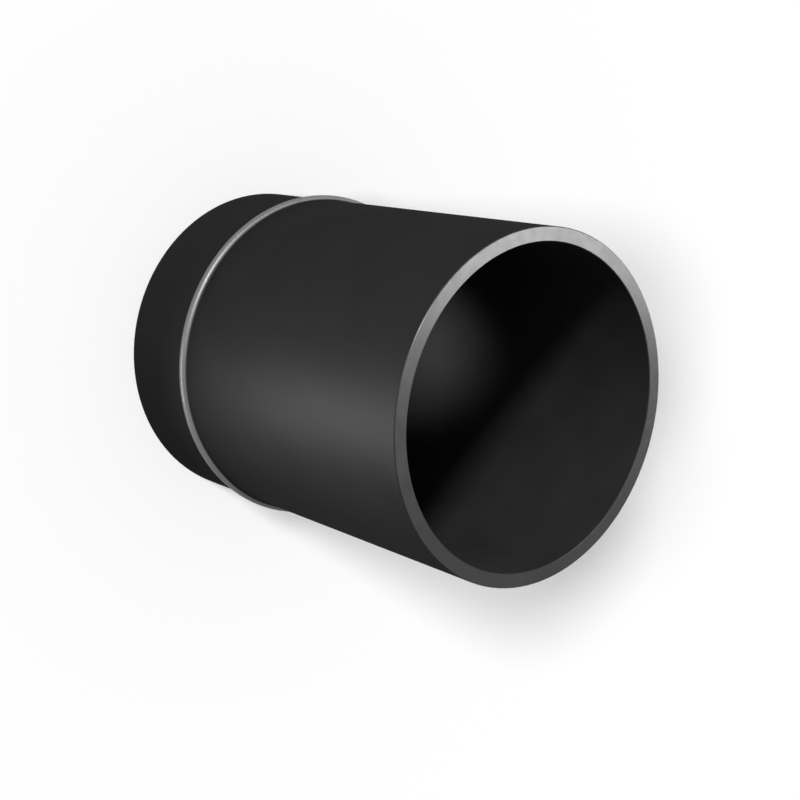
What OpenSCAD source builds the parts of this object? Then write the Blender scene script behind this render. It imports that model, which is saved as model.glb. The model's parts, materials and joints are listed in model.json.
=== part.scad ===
// Duct extension sleeve: one thick-walled round tube with a raised stop bead near one end.
// It stands on the end of its spigot, and its axis is Z. The mouth is at the top.

/* [Tube] */
// Outside diameter, the same on both sides of the bead
tube_diameter = 125; // [80:1:200]
// Thickness of the tube's wall
wall = 5.2; // [3:0.1:10]
// Length from the cut end of the spigot to the middle of the bead
spigot_length = 38.5; // [20:0.5:80]
// Length from the middle of the bead to the mouth
body_length = 125.5; // [40:0.5:400]
// Width of the small chamfer that breaks each edge of the two cut ends
edge_break = 0.3; // [0.1:0.1:1]

/* [Stop bead] */
// Height of the bead's crown above the tube
bead_height = 1.9; // [0.8:0.1:1.9]
// Width of the bead where the round of its crown would meet the tube
bead_width = 3.8; // [3.8:0.1:10]
// Radius of the blend at each foot of the bead
bead_blend_radius = 0.4; // [0.2:0.1:1]

/* [Resolution] */
// Number of steps round the tube
circle_steps = 180; // [48:12:360]
// Number of steps over the bead's crown
crown_steps = 24; // [8:2:48]
// Number of steps in each blend
blend_steps = 6; // [3:1:12]

/* [Hidden] */

tube_radius = tube_diameter / 2;
bore_radius = tube_radius - wall;
total_length = spigot_length + body_length;

// The crown is one arc through both feet and the top of the bead
crown_radius = (pow(bead_width / 2, 2) + pow(bead_height, 2)) / (2 * bead_height);
crown_centre = [tube_radius + bead_height - crown_radius, spigot_length];

// Each blend touches the tube and the crown, so its centre lies one blend radius outside the
// tube, and both radii together away from the crown's centre
blend_centre_radius = tube_radius + bead_blend_radius;
blend_offset = sqrt(
    pow(crown_radius + bead_blend_radius, 2) - pow(blend_centre_radius - crown_centre[0], 2)
);

// Direction from the crown's centre to the upper blend's centre, where the two arcs touch
touch_angle = atan2(blend_offset, blend_centre_radius - crown_centre[0]);

// Points of an arc in the section, from its start angle up to but without its end angle
function arc(centre, radius, start, end, steps) = [
    for (i = [0:steps - 1])
        let (angle = start + (end - start) * i / steps)
            centre + radius * [cos(angle), sin(angle)]
];

// A blend's centre, on the side of the bead towards the spigot's end (-1) or the mouth (1)
function blend_centre(side) = [blend_centre_radius, spigot_length + side * blend_offset];

// Outline of the stop bead, from its foot on the spigot to its foot on the body: a concave
// blend, the round crown, a second blend, and the point where that one runs out on the tube
function bead_outline() = concat(
    arc(blend_centre(-1), bead_blend_radius, 180, 180 - touch_angle, blend_steps),
    arc(crown_centre, crown_radius, -touch_angle, touch_angle, crown_steps),
    arc(blend_centre(1), bead_blend_radius, 180 + touch_angle, 180, blend_steps),
    [[tube_radius, spigot_length + blend_offset]]
);

// Section of the whole wall: the spigot's end, the outside with its bead, the mouth, the bore
function wall_outline() = concat(
    [
        [bore_radius, edge_break],
        [bore_radius + edge_break, 0],
        [tube_radius - edge_break, 0],
        [tube_radius, edge_break]
    ],
    bead_outline(),
    [
        [tube_radius, total_length - edge_break],
        [tube_radius - edge_break, total_length],
        [bore_radius + edge_break, total_length],
        [bore_radius, total_length - edge_break]
    ]
);

// The sleeve is one moulded piece, turned from one section
module sleeve() {
    color("#262626")
        rotate_extrude($fn = circle_steps)
            polygon(wall_outline());
}

sleeve();
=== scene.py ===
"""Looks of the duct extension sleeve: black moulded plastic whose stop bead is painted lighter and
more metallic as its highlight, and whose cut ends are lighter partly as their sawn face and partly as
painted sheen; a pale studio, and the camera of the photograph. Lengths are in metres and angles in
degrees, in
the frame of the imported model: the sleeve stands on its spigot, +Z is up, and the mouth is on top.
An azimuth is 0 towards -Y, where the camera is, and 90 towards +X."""

import json
import math

import bpy
from mathutils import Matrix, Quaternion, Vector


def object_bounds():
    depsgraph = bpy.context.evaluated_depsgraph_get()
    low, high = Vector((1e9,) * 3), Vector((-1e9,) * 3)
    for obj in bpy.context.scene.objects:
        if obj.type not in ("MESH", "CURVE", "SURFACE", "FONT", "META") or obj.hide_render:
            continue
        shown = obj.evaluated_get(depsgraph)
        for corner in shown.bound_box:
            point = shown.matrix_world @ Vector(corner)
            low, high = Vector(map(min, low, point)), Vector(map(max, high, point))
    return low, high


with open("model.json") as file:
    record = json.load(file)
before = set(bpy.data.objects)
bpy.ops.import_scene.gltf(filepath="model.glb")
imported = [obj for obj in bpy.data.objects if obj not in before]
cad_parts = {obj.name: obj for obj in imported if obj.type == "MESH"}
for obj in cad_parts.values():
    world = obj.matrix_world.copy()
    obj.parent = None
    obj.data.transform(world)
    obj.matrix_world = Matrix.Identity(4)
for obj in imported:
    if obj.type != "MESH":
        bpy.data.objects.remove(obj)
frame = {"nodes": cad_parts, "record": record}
cad_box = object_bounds()
sleeve = frame["nodes"]["sleeve"]

# Sleeve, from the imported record
MILLIMETRE = 0.001
mounts = {mount["name"]: mount for mount in frame["record"]["mounts"]}
TUBE_RADIUS = mounts["spigot"]["dims"]["r_mm"] * MILLIMETRE
BORE_RADIUS = mounts["duct_bore"]["dims"]["r_mm"] * MILLIMETRE
MOUTH_HEIGHT = mounts["mouth_rim"]["pos_m"][2]
BEAD_RADIUS = cad_box[1].x
BEAD_HEIGHT = BEAD_RADIUS - TUBE_RADIUS
MOUTH = Vector((0, 0, MOUTH_HEIGHT))
AXIS = Vector((0, 0, 1))

# Camera, fitted to the outline of the photograph
LENS = 67.64
CAMERA_PLACE = Vector((0, -0.37026, 0.52008))
CAMERA_AIM = Vector((0.00868, 0, 0.09397))
CAMERA_ROLL = 104.94

# Finish of each zone: grey level, metallic share, and roughness. The bead's lighter grey and metallic
# share are painted highlight; the cut ends' are partly their lighter sawn face and partly painted
# sheen
SKIN = {"grey": 0.007, "painted_sheen_share": 0.0, "roughness": 0.55}
BORE = {"grey": 0.012, "painted_sheen_share": 0.0, "roughness": 0.6}
# The bead's grey and metallic share are far above the skin's: a painted highlight on the same black
# plastic
BEAD = {"grey": 0.12, "painted_sheen_share": 0.5, "roughness": 0.4}
# The cut ends' lighter grey and metallic share are partly their lighter sawn face and partly painted
# sheen
CUT_END = {"grey": 0.026, "painted_sheen_share": 0.7, "roughness": 0.25}

# Where each zone fades in: heights over the tube, depths under a cut end, distances from the bore
BEAD_FADE = (0.1 * BEAD_HEIGHT, 0.4 * BEAD_HEIGHT)
CUT_FADE = (0.3 * MILLIMETRE, 0.0)
BORE_FADE = (0.4 * MILLIMETRE, 0.2 * MILLIMETRE)

# Satin skin over all zones
SATIN_WEIGHT = 0.05
SATIN_IOR = 2.4
SATIN_ROUGHNESS = 0.55

# Unevenness of the moulded skin and of the cut ends
CLOUD_SIZE = 18 * MILLIMETRE
CLOUD_SHARE = 0.5
PATCH_SIZE = 4 * MILLIMETRE
PATCH_SHARE = 0.12
GRAIN_SIZE = 0.9 * MILLIMETRE
GRAIN_DETAIL = 3.0
TURNING_PITCH = 0.6 * MILLIMETRE
TURNING_SHARE = 0.15
RELIEF_DEPTH = 0.008 * MILLIMETRE

# Floor and surroundings
FLOOR_HALF_SIZE = 6
FLOOR_GREY = 0.95
FLOOR_BOUNCE_GREY = 0.3
AMBIENT = 0.27

# Lamps one metre from the middle of the mouth
SOFTBOX_DISTANCE = 1.0
SOFTBOXES = {
    "key": {"azimuth": -30, "elevation": 31.3, "width": 0.12, "height": 0.12, "radiance": 300},
    "front_fill": {"azimuth": -10, "elevation": 40, "width": 0.3, "height": 0.3, "radiance": 5},
    "side_strip": {"azimuth": -75, "elevation": 31, "width": 0.9, "height": 0.12, "radiance": 14},
    "rim_light": {"azimuth": 200, "elevation": 47.5, "width": 0.3, "height": 0.3, "radiance": 34},
}

# Lamps close to the sleeve: one on the floor in front, and one inside the spigot
LOW_PANEL = {"width": 0.09, "height": 0.12, "radiance": 32, "spread": 165}
LOW_PANEL_PLACE = Vector((0.10, -0.19, 0.002))
LOW_PANEL_TURN = -33
FAR_END_GLOW = {"width": 0.03, "height": 0.03, "radiance": 5.5, "spread": 80}
FAR_END_GLOW_PLACE = Vector((0, 0, 0.035))
FAR_END_GLOW_AZIMUTH = 200

# Soft parallel lights of the floor
SUN_WIDTH = 9
FLOOR_SUNS = {
    "floor_sun_left": {"azimuth": -14.6, "elevation": 38.9, "energy": 1.74},
    "floor_sun_middle": {"azimuth": -4.2, "elevation": 34.6, "energy": 1.0},
    "floor_sun_right": {"azimuth": 9.9, "elevation": 37.2, "energy": 1.36},
}


def direction(azimuth, elevation):
    """Unit vector towards an azimuth and an elevation."""
    a = math.radians(azimuth)
    e = math.radians(elevation)
    return Vector((math.sin(a) * math.cos(e), -math.cos(a) * math.cos(e), math.sin(e)))


def add_object(name, data):
    """Put a new object in the scene."""
    thing = bpy.data.objects.new(name, data)
    bpy.context.scene.collection.objects.link(thing)
    return thing


def add_camera():
    """The photograph's camera: in front of the sleeve, above its mouth, and rolled."""
    data = bpy.data.cameras.new("camera")
    data.lens = LENS
    camera = add_object("camera", data)
    upright = (CAMERA_AIM - CAMERA_PLACE).to_track_quat("-Z", "Y").to_matrix().to_4x4()
    roll = Matrix.Rotation(math.radians(CAMERA_ROLL), 4, "Z")
    camera.matrix_world = Matrix.Translation(CAMERA_PLACE) @ upright @ roll
    bpy.context.scene.camera = camera


def feed(tree, value, socket):
    """Give a socket a number, or the output of another node."""
    if isinstance(value, bpy.types.NodeSocket):
        tree.links.new(value, socket)
    else:
        socket.default_value = value


def calc(tree, operation, first, second=0.0):
    """One step of arithmetic on numbers or node outputs."""
    node = tree.nodes.new("ShaderNodeMath")
    node.operation = operation
    feed(tree, first, node.inputs[0])
    feed(tree, second, node.inputs[1])
    return node.outputs[0]


def fade(tree, value, start, end):
    """Smooth step from 0, where a value is at start, to 1, where it is at end."""
    node = tree.nodes.new("ShaderNodeMapRange")
    node.interpolation_type = "SMOOTHSTEP"
    feed(tree, value, node.inputs["Value"])
    node.inputs["From Min"].default_value = start
    node.inputs["From Max"].default_value = end
    return node.outputs["Result"]


def blend(tree, mask, below, above):
    """Number that goes from below to above as the mask goes from 0 to 1."""
    node = tree.nodes.new("ShaderNodeMix")
    feed(tree, mask, node.inputs["Factor"])
    feed(tree, below, node.inputs["A"])
    feed(tree, above, node.inputs["B"])
    return node.outputs["Result"]


def noise(tree, place, size, detail=2.0):
    """Seamless noise around zero whose spots are about one size across."""
    node = tree.nodes.new("ShaderNodeTexNoise")
    feed(tree, place, node.inputs["Vector"])
    node.inputs["Scale"].default_value = 1 / size
    node.inputs["Detail"].default_value = detail
    return calc(tree, "SUBTRACT", node.outputs["Fac"], 0.5)


def read_place(tree):
    """Object coordinates of a point, its height and its distance from the axis."""
    place = tree.nodes.new("ShaderNodeTexCoord").outputs["Object"]
    parts = tree.nodes.new("ShaderNodeSeparateXYZ")
    tree.links.new(place, parts.inputs[0])
    across = calc(tree, "POWER", parts.outputs["X"], 2)
    along = calc(tree, "POWER", parts.outputs["Y"], 2)
    radius = calc(tree, "SQRT", calc(tree, "ADD", across, along))
    return place, parts.outputs["Z"], radius


def zone_masks(tree, height, radius):
    """Masks of the bead's crown, the two cut ends with their broken edges, and the bore."""
    half = MOUTH_HEIGHT / 2
    from_middle = calc(tree, "ABSOLUTE", calc(tree, "SUBTRACT", height, half))
    bead = fade(tree, radius, TUBE_RADIUS + BEAD_FADE[0], TUBE_RADIUS + BEAD_FADE[1])
    cut_end = fade(tree, from_middle, half - CUT_FADE[0], half - CUT_FADE[1])
    bore = fade(tree, radius, BORE_RADIUS + BORE_FADE[0], BORE_RADIUS + BORE_FADE[1])
    return bead, cut_end, bore


def zoned(tree, masks, quality):
    """Value of one quality of the finish, chosen by zone."""
    bead, cut_end, bore = masks
    value = blend(tree, bore, SKIN[quality], BORE[quality])
    value = blend(tree, bead, value, BEAD[quality])
    return blend(tree, cut_end, value, CUT_END[quality])


def surface_relief(tree, place, radius, cut_end):
    """Normal with the fine grain of the mould, and faint turning marks on the cut ends."""
    grain = noise(tree, place, GRAIN_SIZE, GRAIN_DETAIL)
    turning = calc(tree, "SINE", calc(tree, "MULTIPLY", radius, math.tau / TURNING_PITCH))
    marks = calc(tree, "MULTIPLY", turning, TURNING_SHARE)
    node = tree.nodes.new("ShaderNodeBump")
    node.inputs["Distance"].default_value = RELIEF_DEPTH
    feed(tree, blend(tree, cut_end, grain, marks), node.inputs["Height"])
    return node.outputs["Normal"]


def moulded_plastic():
    """Black plastic whose grey, metallic share, roughness and relief change from zone to zone, with a
    painted highlight on the bead and painted sheen on the cut ends.
    """
    material = bpy.data.materials.new("moulded_plastic")
    material.use_nodes = True
    tree = material.node_tree
    shader = tree.nodes["Principled BSDF"]
    place, height, radius = read_place(tree)
    masks = zone_masks(tree, height, radius)

    clouds = calc(tree, "MULTIPLY", noise(tree, place, CLOUD_SIZE), CLOUD_SHARE)
    # Lighter grey on the bead is painted highlight; on the cut ends it is partly their sawn face and
    # partly painted sheen
    grey = calc(tree, "MULTIPLY", zoned(tree, masks, "grey"), calc(tree, "ADD", 1.0, clouds))
    patches = calc(tree, "MULTIPLY", noise(tree, place, PATCH_SIZE), PATCH_SHARE)
    roughness = calc(tree, "ADD", zoned(tree, masks, "roughness"), patches)
    relief = surface_relief(tree, place, radius, masks[1])

    feed(tree, grey, shader.inputs["Base Color"])
    # Metallic share on the bead and the cut ends: painted highlight and sheen
    feed(tree, zoned(tree, masks, "painted_sheen_share"), shader.inputs["Metallic"])
    feed(tree, roughness, shader.inputs["Roughness"])
    feed(tree, relief, shader.inputs["Normal"])
    feed(tree, relief, shader.inputs["Coat Normal"])
    shader.inputs["Specular IOR Level"].default_value = 0.0
    shader.inputs["Coat Weight"].default_value = SATIN_WEIGHT
    shader.inputs["Coat IOR"].default_value = SATIN_IOR
    shader.inputs["Coat Roughness"].default_value = SATIN_ROUGHNESS
    return material


def seen_ray(tree):
    """1 for the rays that show the background: straight, in a reflection or through glass."""
    path = tree.nodes.new("ShaderNodeLightPath")
    mirrored = calc(tree, "MAXIMUM", path.outputs["Is Camera Ray"], path.outputs["Is Glossy Ray"])
    return calc(tree, "MAXIMUM", mirrored, path.outputs["Is Transmission Ray"])


def add_floor():
    """Wide pale floor. It is white where it is seen, and greyer for the light that it scatters."""
    mesh = bpy.data.meshes.new("floor")
    s = FLOOR_HALF_SIZE
    mesh.from_pydata([(-s, -s, 0), (s, -s, 0), (s, s, 0), (-s, s, 0)], [], [(0, 1, 2, 3)])
    material = bpy.data.materials.new("floor")
    material.use_nodes = True
    tree = material.node_tree
    shader = tree.nodes["Principled BSDF"]
    grey = blend(tree, seen_ray(tree), FLOOR_BOUNCE_GREY, FLOOR_GREY)
    feed(tree, grey, shader.inputs["Base Color"])
    shader.inputs["Roughness"].default_value = 1.0
    shader.inputs["Specular IOR Level"].default_value = 0.0
    mesh.materials.append(material)
    floor = add_object("floor", mesh)
    return floor


def add_world():
    """Soft even surroundings, shown as white."""
    world = bpy.data.worlds.new("world")
    world.use_nodes = True
    tree = world.node_tree
    background = tree.nodes["Background"]
    feed(tree, blend(tree, seen_ray(tree), AMBIENT, 1.0), background.inputs["Strength"])
    background.inputs["Color"].default_value = (1, 1, 1, 1)
    bpy.context.scene.world = world


def light_only(name, thing):
    """Set of one object, for the lamps that light nothing else."""
    group = bpy.data.collections.new(name)
    group.objects.link(thing)
    return group


def place_lamp(name, data, place, away, lit, turn=0.0):
    """Put a lamp in the scene with its back towards away, to light one set of objects."""
    lamp = add_object(name, data)
    lamp.location = place
    lamp.rotation_mode = "QUATERNION"
    spin = Quaternion(AXIS, math.radians(turn))
    lamp.rotation_quaternion = away.to_track_quat("Z", "Y") @ spin
    lamp.visible_camera = False
    lamp.light_linking.receiver_collection = lit


def panel_data(name, width, height, radiance, spread=180.0):
    """Rectangular lamp whose power follows from its size and radiance."""
    data = bpy.data.lights.new(name, "AREA")
    data.shape = "RECTANGLE"
    data.size = width
    data.size_y = height
    data.energy = radiance * width * height * math.pi
    data.spread = math.radians(spread)
    return data


def softbox(name, lit, azimuth, elevation, width, height, radiance):
    """Lamp that faces the middle of the mouth."""
    away = direction(azimuth, elevation)
    data = panel_data(name, width, height, radiance)
    place_lamp(name, data, MOUTH + away * SOFTBOX_DISTANCE, away, lit)


def low_panel(lit):
    """Lamp that lies on the floor in front, and shines up on the side of the tube."""
    data = panel_data("low_panel", **LOW_PANEL)
    place_lamp("low_panel", data, LOW_PANEL_PLACE, -AXIS, lit, LOW_PANEL_TURN)


def far_end_glow(lit):
    """Small lamp inside the spigot, for the daylight that its open end lets in."""
    data = panel_data("far_end_glow", **FAR_END_GLOW)
    place_lamp("far_end_glow", data, FAR_END_GLOW_PLACE, -direction(FAR_END_GLOW_AZIMUTH, 0), lit)


def floor_sun(name, lit, azimuth, elevation, energy):
    """Soft parallel light of the floor, which gives it the sleeve's shadow."""
    data = bpy.data.lights.new(name, "SUN")
    data.energy = energy
    data.angle = math.radians(SUN_WIDTH)
    away = direction(azimuth, elevation)
    place_lamp(name, data, away, away, lit)


def add_lamps(floor):
    """The lamps of the sleeve, and the lights of the floor."""
    on_sleeve = light_only("on_sleeve", sleeve)
    on_floor = light_only("on_floor", floor)
    for name, settings in SOFTBOXES.items():
        softbox(name, on_sleeve, **settings)
    low_panel(on_sleeve)
    far_end_glow(on_sleeve)
    for name, settings in FLOOR_SUNS.items():
        floor_sun(name, on_floor, **settings)


add_camera()
add_world()
add_lamps(add_floor())
finish = moulded_plastic()
for slot in sleeve.material_slots:
    slot.material = finish
bpy.context.scene.view_settings.view_transform = "Standard"
